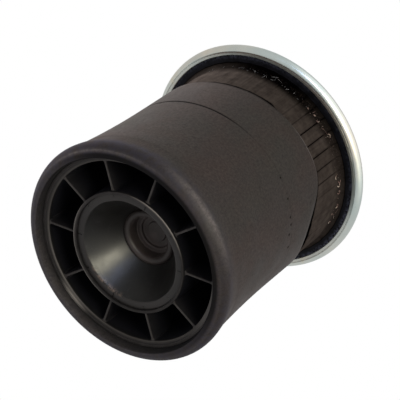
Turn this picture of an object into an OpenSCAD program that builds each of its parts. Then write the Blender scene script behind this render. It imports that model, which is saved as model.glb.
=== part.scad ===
// Rolling lobe air spring for a heavy vehicle's axle.
// Z runs up the axis from the piston's base face to the bead plate. Sizes are in millimetres.
// The model shows the spring let down on its bump stop, with the bellows rolled down its piston.

/* [Overall] */
// Height from the piston's base face to the top of the bead plate
height = 220.5; // [212:0.5:250]
// Radial play left round the bellows' inner leg where it lies on the piston
leg_play = 0.3; // [0.2:0.05:0.6]
// Play between the bellows' inner leg and its outer sleeve
fold_play = 0.4; // [0.3:0.05:1]
// Clearance between pieces that are bonded, moulded or pressed together
bond_gap = 0.05; // [0.02:0.01:0.1]
// Clearance between the bump stop and the bead plate
bump_gap = 0.3; // [0.2:0.1:1]

/* [Piston] */
// Height of the piston from its base face to its deck
piston_h = 150; // [135:1:156]
// Outer radius of the piston's base
base_r = 92; // [80:0.5:105]
// How far the base flares out past the straight upper part of the skirt
flare_w = 5.4; // [3:0.2:8]
// Height over which the base flare runs out
flare_h = 110; // [80:5:130]
// Thickness of the skirt's wall
skirt_t = 4.6; // [3:0.2:6]
// Width of the base rim, where the wall is thickened
rim_w = 6; // [5:0.5:8]
// Width of the rim's flat face, which the piston stands on
rim_face_w = 3; // [2:0.5:4]
// Height over which the thicker wall of the rim runs out
rim_run = 20; // [10:1:30]
// How far the rim's inner edge is drawn back from the base face
rim_rise = 2.7; // [1:0.1:4]
// Thickness of the deck
deck_t = 8; // [6:0.5:12]
// Radius of the deck's rounded shoulder
shoulder_r = 7; // [4:0.5:8]
// Number of radial ribs
rib_count = 10; // [6:1:16]
// Thickness of a rib
rib_t = 2.3; // [1.6:0.1:4]
// How far the ribs' lower edges stand back from the base face
rib_rise = 2.5; // [1:0.5:6]

/* [Hub and cone seat] */
// Outer radius of the hub ring
hub_r = 58.3; // [52:0.1:64]
// Thickness of the hub ring
hub_t = 2.8; // [2:0.1:4]
// How far the cone cup's land stands back from the base face
land_rise = 2.5; // [1:0.1:5]
// Height of the cone cup's outer collar
collar_h = 12; // [8:0.5:16]
// Width of the cone cup's flat land, round the cone's mouth
land_w = 6.85; // [5:0.05:9]
// Angle of the cone's side from its axis
cone_angle = 35; // [32:0.5:38]
// Depth of the cone from its mouth to its inner end
cone_h = 31.6; // [26:0.2:38]
// Wall of the cone cup
cup_t = 4; // [3:0.25:6]
// Radius of the bead that rounds the cone's inner end
ridge_r = 3.4; // [1.5:0.1:4.2]
// Depth of the first well behind the cone
well_h = 5.6; // [4:0.2:12]
// Depth of the narrower second well
step_h = 3; // [2:0.5:9]
// Width of the ledge between the two wells
step_w = 4.7; // [3.4:0.1:6]
// Radius of the fillet between the first well's wall and the ledge
ledge_fillet_r = 1; // [0.4:0.1:1.4]
// Radius of the ledge's rounded inner edge
ledge_round_r = 1.4; // [0.4:0.1:1.8]
// How far the raised disc on the well's floor stands in from the well's wall
disc_in = 5.5; // [3:0.5:8]
// Height of the raised disc
disc_h = 1; // [0.5:0.1:1.8]
// Radius of the centre post
post_r = 20; // [19:0.5:24]
// Room left in the post below the insert for the end of the bolt
bolt_end = 16; // [8:1:20]

/* [Bellows] */
// Outer rubber cover
cover_t = 2; // [1.5:0.1:2.6]
// The two cord plies together
plies_t = 1.4; // [1:0.1:2]
// Inner rubber liner
liner_t = 1.8; // [1.2:0.1:2.4]
// How far the rolled lobe stands out past the piston's base
lobe_w = 12.4; // [10.9:0.1:16]
// Height of the lobe's widest line above the base face
lobe_z = 2.35; // [0:0.05:6]
// Radius of the fold's tight corner beside the piston
corner_r = 1.7; // [1.2:0.1:2.5]
// Height at which the lobe passes into the outer sleeve
lobe_top = 22; // [18:1:40]
// Height at which the lobe passes into the inner leg
leg_z = 12; // [8:1:16]
// Length of the ribbed neck under the bead plate, between the cover's edge and the plate's top
neck_h = 52.7; // [35:0.1:60]
// How far the wall is drawn in at the neck
neck_in = 1.7; // [0.5:0.1:2.5]
// Skin over the cords at the neck
neck_skin = 1.2; // [0.8:0.1:1.8]
// Height from the top of the neck to the top of the bead plate
flange_h = 15.5; // [14:0.5:20]

/* [Lower bead and clamp] */
// How far the bead seat stands in from the skirt's outside
seat_in = 26.6; // [24:0.2:32]
// Height of the bead seat above the deck
seat_h = 8; // [7:0.5:10]
// Width of the lower bead
bead_w = 12; // [10:0.5:13]
// Height of the lower bead
bead_h = 10.5; // [10:0.5:12]
// Radius of a bead's steel core
core_r = 2.6; // [2:0.1:3]
// Thickness of the clamp plate
clamp_t = 4; // [3:0.5:5]
// Radius of the clamp bolt's shank
bolt_r = 8; // [6:0.5:10]
// Radial clearance of the bolt in its holes
bolt_play = 0.5; // [0.2:0.1:1]
// Length of the bolt's shank
bolt_l = 52; // [46:1:60]
// Width across the flats of the bolt's head
bolt_af = 24; // [22:1:27]
// Height of the bolt's head
bolt_head_h = 10; // [8:0.5:12]
// Radius of the washer
washer_r = 14; // [13:0.5:15]
// Thickness of the washer
washer_t = 3; // [2:0.5:4]
// Outer radius of the threaded insert
insert_r = 12.5; // [11.5:0.5:14]
// Length of the threaded insert
insert_l = 40; // [36:1:48]

/* [Bump stop] */
// Radius of the bump stop's foot
bump_foot_r = 38; // [34:1:44]
// Radius of the bump stop's waist
bump_waist_r = 31; // [27:1:33]
// Radius of the bump stop's head
bump_head_r = 35; // [33:1:42]
// Radius of the hole down the bump stop
bump_hole_r = 16; // [15.5:0.5:18]
// Thickness of the steel base bonded into the bump stop
bump_base_t = 3; // [2:0.5:5]

/* [Bead plate] */
// Thickness of the plate's sheet
sheet_t = 2.5; // [2:0.1:3]
// Outer radius of the rolled edge
roll_r = 5.2; // [4.8:0.1:6]
// Width of the rubber flange between the neck and the rolled edge's lip
lip_w = 10.6; // [8:0.1:13]
// How far the rolled edge reaches out past its lip
roll_w = 8.5; // [7:0.1:11]
// Width of the rolled rim's flat top, from the lip inward
rim_flat_w = 5.8; // [4:0.1:8]
// Width of the coined groove where the rolled edge meets its lip
groove_w = 1; // [0.4:0.1:2]
// Depth of the coined groove
groove_h = 0.5; // [0.2:0.1:1]
// Rubber round the upper bead's steel core
top_core_wall = 0.75; // [0.5:0.05:1]
// Room between the air stud's head and the upper bead
stud_room = 4.8; // [2:0.2:20]
// Radius of the mounting stud
stud_r = 6; // [5:0.5:8]
// Length of the mounting stud above the plate
stud_l = 38; // [25:1:50]
// Radius of the air stud
air_stud_r = 11; // [10:0.5:12]
// Length of the air stud above the plate
air_stud_l = 32; // [24:1:45]
// Radius of the tapped air port
port_r = 5.25; // [4:0.25:6.5]
// Depth of the tapped air port
port_h = 16; // [12:1:20]
// Radius of the passage behind the air port
passage_r = 3.5; // [2:0.5:3.5]
// Thickness of the studs' heads, welded under the plate
stud_head_t = 4; // [3:0.5:5]
// How far a stud's head stands out round its shank
stud_head_w = 5; // [4:0.5:6]
// How far a stud's shoulder, pressed into the plate, stands out round its shank
stud_shoulder = 0.4; // [0.2:0.1:1]
// Chamfer at a stud's tip
stud_tip = 1.5; // [1:0.5:2]

/* [Hidden] */
$fn = 96;

plastic = [0.13, 0.13, 0.12];
gloss_plastic = [0.10, 0.10, 0.10];
rubber = [0.17, 0.16, 0.15];
cord = [0.45, 0.40, 0.32];
zinc = [0.78, 0.79, 0.78];
steel = [0.55, 0.56, 0.58];

// Wall of the bellows, and what the fold adds outside the piston
wall_t = cover_t + plies_t + liner_t;
fold_w = leg_play + wall_t + fold_play + wall_t;
// Steps along a curved wall, and along a small arc
wall_steps = 14;
arc_steps = 8;
// Height of the joint that lets the lobe move past its neighbours
lobe_play = 0.3;

skirt_r = base_r - flare_w;
deck_z = piston_h - deck_t;
land_z = land_rise;
collar_top = land_z + collar_h;
throat_z = land_z + cone_h;
cup_r = hub_r - hub_t - bond_gap;
mouth_r = cup_r - land_w;
throat_r = mouth_r - cone_h * tan(cone_angle);
well_r = throat_r - 2 * ridge_r;
ledge_z = throat_z + ridge_r + well_h;
floor_z = ledge_z + step_h;
cup_top = floor_z + cup_t;

seat_r = skirt_r - seat_in;
plate_z = height - sheet_t;
neck_top = height - flange_h;
neck_z = height - neck_h;
// Height over which the wall is drawn in, just under the cover's edge
neck_run = 10;
bead_z = piston_h + leg_play;
bead_top = bead_z + bead_h;
bead_out_r = seat_r + bond_gap + bead_w;
clamp_z = piston_h + seat_h + bond_gap;
bump_base_z = clamp_z + clamp_t + bond_gap;
bump_z = bump_base_z + bump_base_t + bond_gap;
bump_top = plate_z - bump_gap;
washer_z = bump_base_z + bump_base_t + bond_gap;
head_z = washer_z + washer_t + bond_gap;

// Radius of the piston's outside at height z: a flare that runs out into a straight skirt
function piston_r(z) = skirt_r + (base_r - skirt_r) * pow(max(0, 1 - max(0, z) / flare_h), 2);
// Thickness of the skirt's wall at height z, thickened at the base rim
function skirt_wall(z) = skirt_t + (rim_w - skirt_t) * pow(max(0, 1 - z / rim_run), 2);
// Radius of the skirt's inside at height z
function skirt_in(z) = piston_r(z) - skirt_wall(z);
// Rise from 0 to 1 as t goes from 0 to 1, level at both ends
function ease(t) = let (u = min(1, max(0, t))) u * u * (3 - 2 * u);
// Outer radius of the sleeve at height z
function sleeve_r(z) = piston_r(z) + fold_w;
// The same surface drawn in at the neck, which the plies and the liner follow
function drawn_r(z) = sleeve_r(z) - neck_in * ease((z - neck_z + neck_run) / neck_run);

function steps(a, b, n) = [for (i = [0 : n]) a + (b - a) * i / n];
function arc(c, r, a, b, n = arc_steps) = [for (t = steps(a, b, n)) c + r * [cos(t), sin(t)]];
function reverse(v) = [for (i = [len(v) - 1 : -1 : 0]) v[i]];
// Cubic curve from a to b with handles at p and q
function curve(a, p, q, b, n = arc_steps) = [for (t = steps(0, 1, n))
    a * pow(1 - t, 3) + p * 3 * t * pow(1 - t, 2) + q * 3 * t * t * (1 - t) + b * pow(t, 3)];

// Radii of the neck's skin, the rolled edge's lip, the plate and the studs' places
neck_out_r = drawn_r(neck_top) - cover_t + neck_skin;
neck_in_r = drawn_r(neck_top) - wall_t;
lip_r = neck_out_r + lip_w;
plate_r = lip_r + roll_w;
disc_edge_r = lip_r - rim_flat_w;
stud_x = neck_in_r - stud_room - air_stud_r - stud_head_w;
// Centre of the rolled edge's arc, and the radius of the upper bead's steel core
roll_c = [plate_r - roll_r, height - roll_r];
top_core_r = roll_r - sheet_t - bond_gap - top_core_wall;

// Centre of the lobe's large arc, and the angle above level at which the arc starts
lobe_c = [base_r + leg_play + corner_r, lobe_z];
lobe_lead = 8;

// Line through the lobe at depth d under the rubber's outer face, from the sleeve round to the leg
function lobe_line(d) = let (
    r = base_r + lobe_w - lobe_c[0] - d,
    top = [sleeve_r(lobe_top) - d, lobe_top],
    start = lobe_c + r * [cos(lobe_lead), sin(lobe_lead)],
    third = (lobe_top - start[1]) / 3,
    slope = sleeve_r(lobe_top) - sleeve_r(lobe_top - 1),
    leg_r = base_r + leg_play + d,
    inset = max(0, leg_r - lobe_c[0]),
    corner = max(0, lobe_c[0] - leg_r),
    turn = acos(inset / r),
    low = lobe_c + r * [cos(turn), -sin(turn)]
) concat(
    curve(top, top - third * [slope, 1], start + third * [-sin(lobe_lead), cos(lobe_lead)], start),
    arc(lobe_c, r, lobe_lead, -turn),
    corner > 0 ? arc([lobe_c[0], low[1] + corner], corner, -90, -180, 4) : [],
    [for (z = [0, leg_z]) [piston_r(z) + leg_play + d, z]]
);

// Line through the inner leg at depth d under the rubber's outer face, up the piston and over its shoulder
function leg_line(d) = concat(
    [for (z = steps(leg_z + lobe_play, piston_h - shoulder_r, wall_steps)) [piston_r(z) + leg_play + d, z]],
    arc([skirt_r - shoulder_r, piston_h - shoulder_r], shoulder_r + leg_play + d, 0, 90),
    [[bead_out_r + bond_gap, bead_z + d]]
);

// Heights of the sleeve's corners up to the cover's edge, the same for every layer so that they nest
cover_heights = concat(
    steps(lobe_top + lobe_play, neck_z - neck_run, 2 * wall_steps),
    [for (i = [1 : arc_steps]) neck_z - neck_run + neck_run * i / arc_steps]
);
sleeve_heights = concat(cover_heights, [neck_top - bond_gap]);

// Line through the sleeve at depth d under the rubber's outer face, up to the neck's top
function sleeve_line(d) = [for (z = sleeve_heights) [drawn_r(z) - d, z]];

// Ring whose section lies between two lines
module ring_between(outer, inner) {
    rotate_extrude() polygon(concat(outer, reverse(inner)));
}

// Moulded outer wall of the piston, with its thickened base rim
module piston_skirt() {
    outer = [for (z = steps(0, deck_z - bond_gap, wall_steps)) [piston_r(z), z]];
    inner = [for (z = steps(rim_rise, deck_z - bond_gap, wall_steps)) [skirt_in(z), z]];
    face = curve([base_r - rim_face_w, 0], [base_r - rim_w + 1, 0],
                 [skirt_in(rim_rise), rim_rise / 3], [skirt_in(rim_rise), rim_rise]);
    color(plastic) ring_between(outer, concat(face, inner));
}

// Radial ribs between the hub ring and the skirt
module piston_ribs() {
    top = deck_z - bond_gap;
    outer = [for (z = steps(rib_rise, top, wall_steps)) [skirt_in(z) - bond_gap, z]];
    color(plastic) for (i = [0 : rib_count - 1]) rotate([0, 0, i * 360 / rib_count]) intersection() {
        rotate_extrude() polygon(concat(outer, [[hub_r + bond_gap, top], [hub_r + bond_gap, rib_rise]]));
        translate([0, -rib_t / 2, 0]) cube([base_r, rib_t, piston_h]);
    }
}

// Ring wall round the cone cup, with the ledge that the cup's collar seats on
module piston_hub() {
    in_r = hub_r - hub_t;
    ledge_r = in_r - 2.5;
    ledge_bottom = collar_top + bond_gap;
    color(plastic) rotate_extrude() polygon([
        [in_r, 0.6], [in_r + 0.6, 0], [hub_r - 0.6, 0], [hub_r, 0.6], [hub_r, deck_z - bond_gap],
        [in_r, deck_z - bond_gap], [in_r, ledge_bottom + 6], [ledge_r, ledge_bottom + 3],
        [ledge_r, ledge_bottom], [in_r, ledge_bottom]
    ]);
}

// Deck with its rounded shoulder, and on top the bead seat and the boss round the insert
module piston_deck() {
    bore_r = insert_r + bond_gap;
    seat_top = piston_h + seat_h;
    color(plastic) rotate_extrude() polygon(concat(
        [[bore_r, deck_z], [skirt_r, deck_z]],
        arc([skirt_r - shoulder_r, piston_h - shoulder_r], shoulder_r, 0, 90),
        [[seat_r, piston_h], [seat_r, seat_top - 1], [seat_r - 1, seat_top], [seat_r - 6, seat_top],
         [seat_r - 8, piston_h], [post_r + 10, piston_h], [post_r + 4, seat_top], [bore_r, seat_top]]
    ));
}

// Post between the cone cup and the deck, bored for the insert and the end of the bolt
module centre_post() {
    top = deck_z - bond_gap;
    insert_z = piston_h + seat_h - insert_l;
    color(plastic) difference() {
        rotate_extrude() polygon([
            [0, cup_top + bond_gap], [post_r, cup_top + bond_gap], [post_r, top - 6], [post_r + 6, top], [0, top]
        ]);
        translate([0, 0, insert_z - bond_gap]) cylinder(r = insert_r + bond_gap, h = insert_l);
        translate([0, 0, insert_z - bolt_end]) cylinder(r = bolt_r + bolt_play, h = bolt_end + 1);
    }
}

// Cup whose polished cone centres the spring on its seat, with the stepped well behind the cone
module cone_cup() {
    step_r = well_r - step_w;
    disc_r = step_r - disc_in;
    side = cup_t / cos(cone_angle);
    shell_r = well_r + cup_t;
    shell_z = land_z + (mouth_r + side - shell_r) / tan(cone_angle);
    color(gloss_plastic) rotate_extrude() polygon(concat(
        [[cup_r, collar_top], [cup_r, land_z + 0.5], [cup_r - 0.5, land_z], [mouth_r + 1.2, land_z]],
        [[mouth_r + 0.3, land_z + 0.35], [mouth_r - 0.4, land_z + 1.2], [throat_r, throat_z]],
        arc([throat_r - ridge_r, throat_z], ridge_r, -20, -180),
        arc([well_r - ledge_fillet_r, ledge_z - ledge_fillet_r], ledge_fillet_r, 0, 90),
        arc([step_r + ledge_round_r, ledge_z + ledge_round_r], ledge_round_r, -90, -180),
        [[step_r, floor_z], [disc_r, floor_z], [disc_r, floor_z - disc_h + 0.4]],
        [[disc_r - 0.4, floor_z - disc_h], [0, floor_z - disc_h]],
        [[0, cup_top], [shell_r, cup_top], [shell_r, shell_z]],
        [[mouth_r + side - collar_h * tan(cone_angle), collar_top]]
    ));
}

// Steel insert moulded into the centre post, which the clamp bolt screws into
module threaded_insert() {
    color(steel) translate([0, 0, piston_h + seat_h - insert_l]) difference() {
        cylinder(r = insert_r, h = insert_l);
        translate([0, 0, -1]) cylinder(r = bolt_r + bond_gap, h = insert_l + 2);
    }
}

// Lower bead of the bellows, seated round the deck's bead seat
module lower_bead() {
    in_r = seat_r + bond_gap;
    core = [in_r + bead_w / 2, bead_z + bead_h / 2];
    color(rubber) rotate_extrude() difference() {
        polygon([
            [in_r, bead_z + 1], [in_r + 1, bead_z], [bead_out_r, bead_z], [bead_out_r, bead_top - 2.5],
            [bead_out_r - 2.5, bead_top], [in_r + 1.5, bead_top], [in_r, bead_top - 1.5]
        ]);
        translate(core) circle(r = core_r + bond_gap);
    }
}

// Steel hoop inside the lower bead
module lower_bead_core() {
    color(steel) rotate_extrude()
        translate([seat_r + bond_gap + bead_w / 2, bead_z + bead_h / 2]) circle(r = core_r);
}

// Dished steel plate that clamps the lower bead to the piston
module clamp_plate() {
    flat_top = clamp_z + clamp_t;
    rim_z = bead_top + bond_gap;
    curl_r = bead_out_r + 1.5;
    color(zinc) rotate_extrude() polygon([
        [bolt_r + bolt_play, clamp_z], [seat_r - 3, clamp_z], [seat_r - 1, rim_z], [bead_out_r - 2.5, rim_z],
        [curl_r - 0.5, rim_z - 2.6], [curl_r + clamp_t - 0.5, rim_z - 2.6], [curl_r + clamp_t - 0.5, rim_z],
        [curl_r, rim_z + clamp_t], [seat_r - 3.5, rim_z + clamp_t], [seat_r - 6.5, flat_top],
        [bolt_r + bolt_play, flat_top]
    ]);
}

// Hexagon bolt that holds the clamp plate and the bump stop down
module clamp_bolt() {
    color(zinc) union() {
        translate([0, 0, head_z - bolt_l]) cylinder(r = bolt_r, h = bolt_l);
        intersection() {
            translate([0, 0, head_z]) cylinder(r = bolt_af / sqrt(3), h = bolt_head_h, $fn = 6);
            translate([0, 0, head_z]) cylinder(r1 = bolt_af / sqrt(3) + 4, r2 = bolt_af / 2, h = bolt_head_h + 1.5);
        }
    }
}

// Washer under the bolt's head
module clamp_washer() {
    color(zinc) translate([0, 0, washer_z]) difference() {
        cylinder(r = washer_r, h = washer_t);
        translate([0, 0, -1]) cylinder(r = bolt_r + bolt_play, h = washer_t + 2);
    }
}

// Rubber bump stop that meets the bead plate when the spring is let down
module bump_stop() {
    h = bump_top - bump_z;
    foot = [bump_foot_r, bump_z + 0.1 * h];
    waist = [bump_waist_r, bump_z + 0.45 * h];
    neck = [bump_head_r, bump_top - 0.2 * h];
    handle = [0, 0.16 * h];
    round_r = 0.1 * h;
    color(rubber) rotate_extrude() polygon(concat(
        [[bump_hole_r, bump_z], [bump_foot_r, bump_z]],
        curve(foot, foot + handle, waist - handle, waist),
        curve(waist, waist + handle, neck - handle, neck),
        arc([bump_head_r - round_r, bump_top - round_r], round_r, 0, 90),
        [[bump_hole_r, bump_top]]
    ));
}

// Steel base bonded under the bump stop
module bump_stop_base() {
    color(steel) translate([0, 0, bump_base_z]) difference() {
        cylinder(r = bump_foot_r - 2, h = bump_base_t);
        translate([0, 0, -1]) cylinder(r = bolt_r + bolt_play, h = bump_base_t + 2);
    }
}

// Layer of the bellows' inner leg between two depths
module leg_layer(a, b) {
    ring_between(leg_line(a), leg_line(b));
}

module leg_cover() {
    color(rubber) leg_layer(0, cover_t);
}

module leg_plies() {
    color(cord) leg_layer(cover_t + bond_gap, cover_t + plies_t);
}

module leg_liner() {
    color(rubber) leg_layer(cover_t + plies_t + bond_gap, wall_t);
}

// Layer of the rolled lobe between two depths
module lobe_layer(a, b) {
    ring_between(lobe_line(a), lobe_line(b));
}

module lobe_cover() {
    color(rubber) lobe_layer(0, cover_t);
}

module lobe_plies() {
    color(cord) lobe_layer(cover_t + bond_gap, cover_t + plies_t);
}

module lobe_liner() {
    color(rubber) lobe_layer(cover_t + plies_t + bond_gap, wall_t);
}

// Outer cover of the sleeve, which ends in a step at the neck
module sleeve_cover() {
    color(rubber) ring_between([for (z = cover_heights) [sleeve_r(z), z]],
                               [for (z = cover_heights) [drawn_r(z) - cover_t, z]]);
}

module sleeve_plies() {
    color(cord) ring_between(sleeve_line(cover_t + bond_gap), sleeve_line(cover_t + plies_t));
}

module sleeve_liner() {
    color(rubber) ring_between(sleeve_line(cover_t + plies_t + bond_gap), sleeve_line(wall_t));
}

// Thin skin over the cords between the cover's edge and the bead plate
module neck_band() {
    in_r = neck_out_r - neck_skin;
    color(rubber) rotate_extrude() polygon([
        [in_r, neck_z + bond_gap], [neck_out_r, neck_z + bond_gap],
        [neck_out_r, neck_top - bond_gap], [in_r, neck_top - bond_gap]
    ]);
}

// Upper bead of the bellows, held in the plate's rolled edge
module upper_bead() {
    lip_bottom = height - 2 * roll_r;
    shelf = lip_bottom + sheet_t + bond_gap;
    bead_arc = roll_r - sheet_t - bond_gap;
    color(rubber) rotate_extrude() difference() {
        polygon(concat(
            [[neck_in_r, neck_top]],
            curve([neck_out_r, neck_top], [neck_out_r, neck_top + 3],
                  [neck_out_r + 1, lip_bottom - 0.6], [neck_out_r + 4, lip_bottom - 0.2]),
            [[lip_r - bond_gap, lip_bottom + 0.3], [lip_r - bond_gap, shelf]],
            arc(roll_c, bead_arc, -90, 90),
            [[neck_in_r, plate_z - bond_gap]]
        ));
        translate([lip_r + 1, roll_c[1]]) circle(r = top_core_r + bond_gap);
    }
}

// Steel hoop inside the upper bead
module upper_bead_core() {
    color(steel) rotate_extrude() translate([lip_r + 1, roll_c[1]]) circle(r = top_core_r);
}

// Flat of the pressed steel plate, drilled for the two studs
module bead_plate() {
    color(zinc) translate([0, 0, plate_z]) difference() {
        cylinder(r = disc_edge_r, h = sheet_t);
        translate([-stud_x, 0, -1]) cylinder(r = stud_r + stud_shoulder + bond_gap, h = sheet_t + 2);
        translate([stud_x, 0, -1]) cylinder(r = air_stud_r + stud_shoulder + bond_gap, h = sheet_t + 2);
    }
}

// Rim of the plate, rolled down and in under the upper bead, with a groove where the roll meets its lip
module crimped_rim() {
    edge = disc_edge_r + bond_gap;
    inner_r = roll_r - sheet_t;
    low = height - 2 * roll_r;
    groove_a = acos(groove_w / 2 / roll_r);
    color(zinc) rotate_extrude() polygon(concat(
        [[edge, plate_z], [edge, height]],
        arc(roll_c, roll_r, 90, -groove_a, 2 * arc_steps),
        [for (side = [1, -1]) [roll_c[0] + side * groove_w / 4, low + groove_h]],
        [[roll_c[0] - groove_w / 2, low], [lip_r + 0.6, low], [lip_r, low + 0.6], [lip_r, low + sheet_t]],
        arc(roll_c, inner_r, -90, 90, 2 * arc_steps)
    ));
}

// Stud with a head welded under the plate and a chamfered tip
module stud(r, l) {
    top = height + l;
    head_r = r + stud_head_w;
    seat_z = plate_z - bond_gap;
    rotate_extrude() polygon([
        [0, seat_z - stud_head_t], [head_r - 1, seat_z - stud_head_t], [head_r, seat_z - stud_head_t + 1],
        [head_r, seat_z], [r + stud_shoulder, seat_z], [r + stud_shoulder, height], [r, height],
        [r, top - stud_tip], [r - stud_tip, top], [0, top]
    ]);
}

module mounting_stud() {
    color(zinc) translate([-stud_x, 0, 0]) stud(stud_r, stud_l);
}

// Stud with the tapped air port and its passage into the bellows
module air_stud() {
    top = height + air_stud_l;
    color(zinc) translate([stud_x, 0, 0]) difference() {
        stud(air_stud_r, air_stud_l);
        translate([0, 0, top - port_h]) cylinder(r = port_r, h = port_h + 1);
        translate([0, 0, plate_z - stud_head_t - 1]) cylinder(r = passage_r, h = top - plate_z + stud_head_t);
    }
}

piston_skirt();
piston_ribs();
piston_hub();
piston_deck();
centre_post();
cone_cup();
threaded_insert();
lower_bead();
lower_bead_core();
clamp_plate();
clamp_bolt();
clamp_washer();
bump_stop();
bump_stop_base();
leg_cover();
leg_plies();
leg_liner();
lobe_cover();
lobe_plies();
lobe_liner();
sleeve_cover();
sleeve_plies();
sleeve_liner();
neck_band();
upper_bead();
upper_bead_core();
bead_plate();
crimped_rim();
mounting_stud();
air_stud();
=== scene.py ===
import math
import random

import bmesh
import bpy
import numpy as np
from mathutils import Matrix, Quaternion, Vector


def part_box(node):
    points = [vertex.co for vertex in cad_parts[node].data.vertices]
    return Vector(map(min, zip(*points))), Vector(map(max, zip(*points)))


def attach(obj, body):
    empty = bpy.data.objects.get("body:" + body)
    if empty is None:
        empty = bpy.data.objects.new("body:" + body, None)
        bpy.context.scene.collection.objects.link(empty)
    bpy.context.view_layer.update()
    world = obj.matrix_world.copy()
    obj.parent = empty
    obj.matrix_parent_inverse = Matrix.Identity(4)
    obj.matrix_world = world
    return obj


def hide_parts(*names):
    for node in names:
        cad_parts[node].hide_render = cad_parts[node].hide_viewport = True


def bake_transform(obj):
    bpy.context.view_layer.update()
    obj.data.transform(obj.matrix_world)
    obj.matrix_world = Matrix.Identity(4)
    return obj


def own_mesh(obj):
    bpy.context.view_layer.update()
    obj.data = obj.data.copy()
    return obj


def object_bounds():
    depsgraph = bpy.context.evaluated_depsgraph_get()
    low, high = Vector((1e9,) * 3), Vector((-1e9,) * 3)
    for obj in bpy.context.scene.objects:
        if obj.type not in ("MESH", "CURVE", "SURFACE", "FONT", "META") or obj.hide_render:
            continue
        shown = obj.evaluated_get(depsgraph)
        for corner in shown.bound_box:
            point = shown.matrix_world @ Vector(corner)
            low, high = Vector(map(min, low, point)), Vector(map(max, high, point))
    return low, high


MM = 0.001

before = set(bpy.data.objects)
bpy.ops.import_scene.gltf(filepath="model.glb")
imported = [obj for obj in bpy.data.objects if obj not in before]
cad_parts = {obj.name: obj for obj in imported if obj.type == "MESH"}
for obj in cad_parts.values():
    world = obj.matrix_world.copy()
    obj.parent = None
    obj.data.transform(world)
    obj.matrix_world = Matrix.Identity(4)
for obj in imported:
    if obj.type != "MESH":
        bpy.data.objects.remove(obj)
cad_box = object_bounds()


def low(node):
    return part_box(node)[0]


def high(node):
    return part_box(node)[1]


# Sizes read from the frame
BASE_R = high("piston_skirt").x
SKIRT_TOP = high("piston_skirt").z
HUB_R = high("piston_hub").x
CUP_R = high("cone_cup").x
CUP_TOP = high("cone_cup").z
RIB_LOW = low("piston_ribs").z
LAND_Z = low("cone_cup").z
LOBE_R = high("lobe_cover").x
LOBE_LOW = low("lobe_cover").z
LOBE_TOP = high("lobe_cover").z
EDGE_Z = high("sleeve_cover").z
NECK_R = high("neck_band").x
NECK_TOP = high("neck_band").z
PLATE_R = high("crimped_rim").x
PLATE_TOP = high("crimped_rim").z
LIP_LOW = low("crimped_rim").z
PLATE_LOW = low("bead_plate").z
PLATE_EDGE_R = high("bead_plate").x
LEG_LOW = low("leg_cover").z
MOUNT_STUD = (low("mounting_stud") + high("mounting_stud")) / 2
AIR_STUD = (low("air_stud") + high("air_stud")) / 2
MOUNT_TIP = high("mounting_stud").z
AIR_TIP = high("air_stud").z

# Walls and details that the boxes don't give
WALL = 5.2 * MM
LEG_PLAY = 0.3 * MM
FOLD_W = 11.1 * MM
FLARE_W = 5.4 * MM
FLARE_H = 110 * MM
CORNER_R = 1.7 * MM
LOBE_Z = 2.35 * MM
LOBE_LEAD = math.radians(8)
SKIRT_R = BASE_R - FLARE_W
SKIRT_T = 4.6 * MM
RIM_W = 6 * MM
RIM_RUN = 20 * MM
RIB_COUNT = 10
RIB_T = 2.3 * MM
HUB_T = 2.8 * MM
MOUTH_R = CUP_R - 6.85 * MM
CONE_SLOPE = math.radians(35)
CONE_TAN = math.tan(CONE_SLOPE)
CONE_H = 31.6 * MM
SHOULDER_R = 7 * MM
PISTON_TOP = 150 * MM
SEAM_Z = 113.5 * MM
NECK_IN_R = NECK_R - WALL + 0.8 * MM
ROLL_R = 5.2 * MM
ROLL = (PLATE_R - ROLL_R, PLATE_TOP - ROLL_R)
LIP_R = PLATE_R - 8.5 * MM


def piston_r(z):
    """Radius of the piston's outside at height z."""
    return SKIRT_R + FLARE_W * np.clip(1 - np.maximum(z, 0) / FLARE_H, 0, 1) ** 2


def skirt_in(z):
    """Radius of the skirt's inside at height z."""
    return piston_r(z) - SKIRT_T - (RIM_W - SKIRT_T) * np.clip(1 - z / RIM_RUN, 0, 1) ** 2


def sleeve_r(z):
    return piston_r(z) + FOLD_W


def smooth(x):
    x = np.clip(x, 0, 1)
    return x * x * (3 - 2 * x)


def offset(angle, centre, step=360):
    """Degrees to an angle from the nearest of the marks that stand a step apart, one of them at centre."""
    return (angle - centre + step / 2) % step - step / 2


def hump(angle, centre, half_width):
    """1 at an angle in degrees, falling smoothly to 0 at half_width on either side."""
    return smooth(1 - np.abs(offset(angle, centre)) / half_width)


def bell(off, width):
    """1 where off is 0, falling to about a third at width on either side and to nothing beyond."""
    return np.exp(-(off / width) ** 2)


def most(*masks):
    """The highest of several masks at each place."""
    return np.maximum.reduce(np.broadcast_arrays(*masks))


def through(angle, points, soften=9):
    """A smooth closed line through (angle in degrees, value) points, softened over some half degrees."""
    grid = np.arange(-180, 180, 0.5)
    line = np.interp(grid, *zip(*points), period=360)
    line = sum(np.roll(line, k) for k in range(-soften, soften + 1)) / (2 * soften + 1)
    return np.interp(angle, grid, line, period=360)


def wander(angle, seed, size):
    """A slow, closed waviness round the axis, of about the given size."""
    draw = random.Random(seed)
    total = 0 * angle
    for k in range(2, 9):
        total = total + draw.uniform(-1, 1) / k * np.cos(np.radians(angle) * k + draw.uniform(0, 6.28))
    return total * size


def span(a, b, n):
    return np.linspace(a, b, n + 1)


def arc(centre, r, start, end, n=10):
    """Points on an arc, with angles in degrees."""
    turns = np.radians(span(start, end, n))
    return [(centre[0] + r * math.cos(t), centre[1] + r * math.sin(t)) for t in turns]


def curve(a, p, q, b, n=10):
    """Points on a cubic curve from a to b with handles at p and q."""
    a, p, q, b = (np.array(v, float) for v in (a, p, q, b))
    return [tuple(a * (1 - t) ** 3 + p * 3 * t * (1 - t) ** 2 + q * 3 * t * t * (1 - t) + b * t ** 3)
            for t in span(0, 1, n)]


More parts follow.
